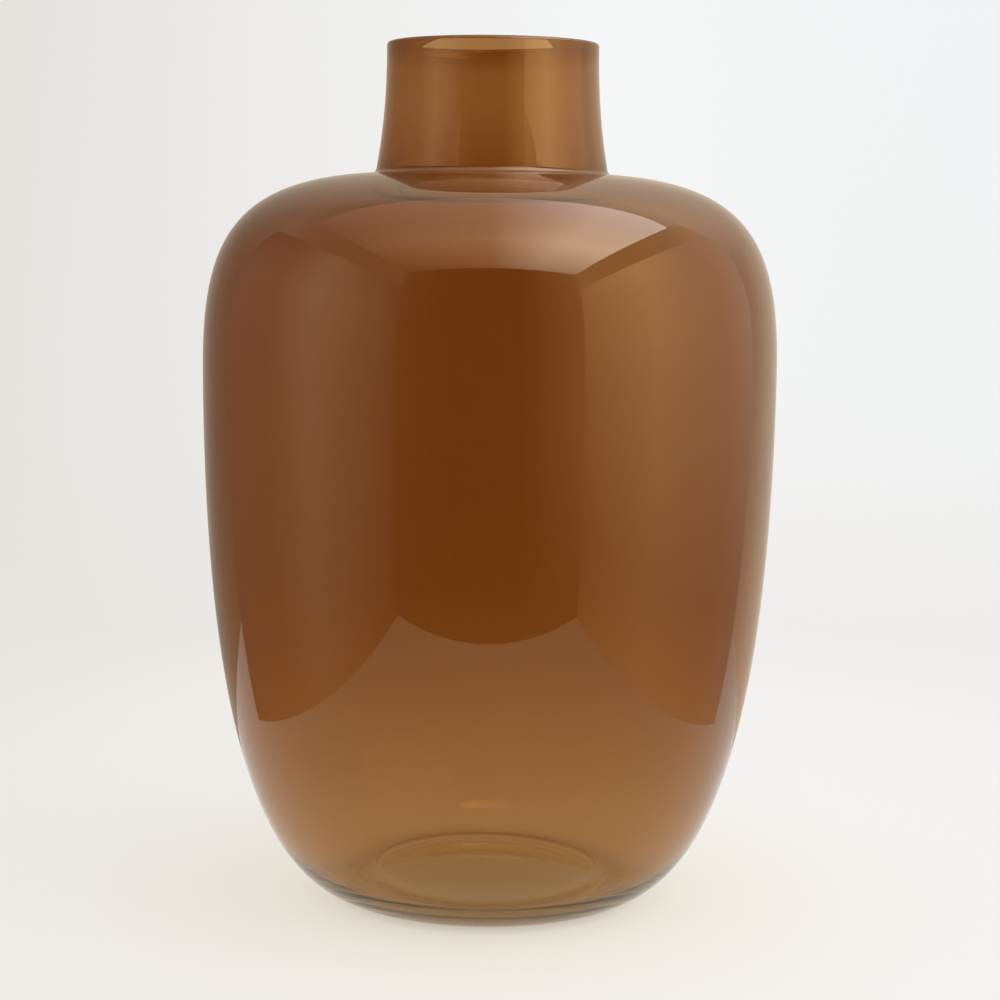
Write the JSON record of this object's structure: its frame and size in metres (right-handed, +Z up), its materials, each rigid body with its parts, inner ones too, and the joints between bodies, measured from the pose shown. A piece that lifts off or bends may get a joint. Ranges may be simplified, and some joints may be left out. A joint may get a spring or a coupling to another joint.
{
  "type": "glass vase",
  "caption": "Blown amber glass vase with a tall rounded body, a flat shoulder, a short neck that narrows a little upwards and an open round mouth.",
  "frame": {"origin": "centre of the foot, on the plane that the vase stands on", "axes": "+Z up along the vase's axis of revolution, towards the mouth; X and Y are level, and no direction round the axis is special"},
  "size_m": [0.167, 0.167, 0.25],
  "materials": {
    "amber_glass": "clear amber-brown glass, fire-polished and glossy, with a faint grey-violet lustre at the edges and a greener cast in the thick base"
  },
  "bodies": {
    "root": {"glass_vessel": "amber_glass"}
  },
  "joints": []
}
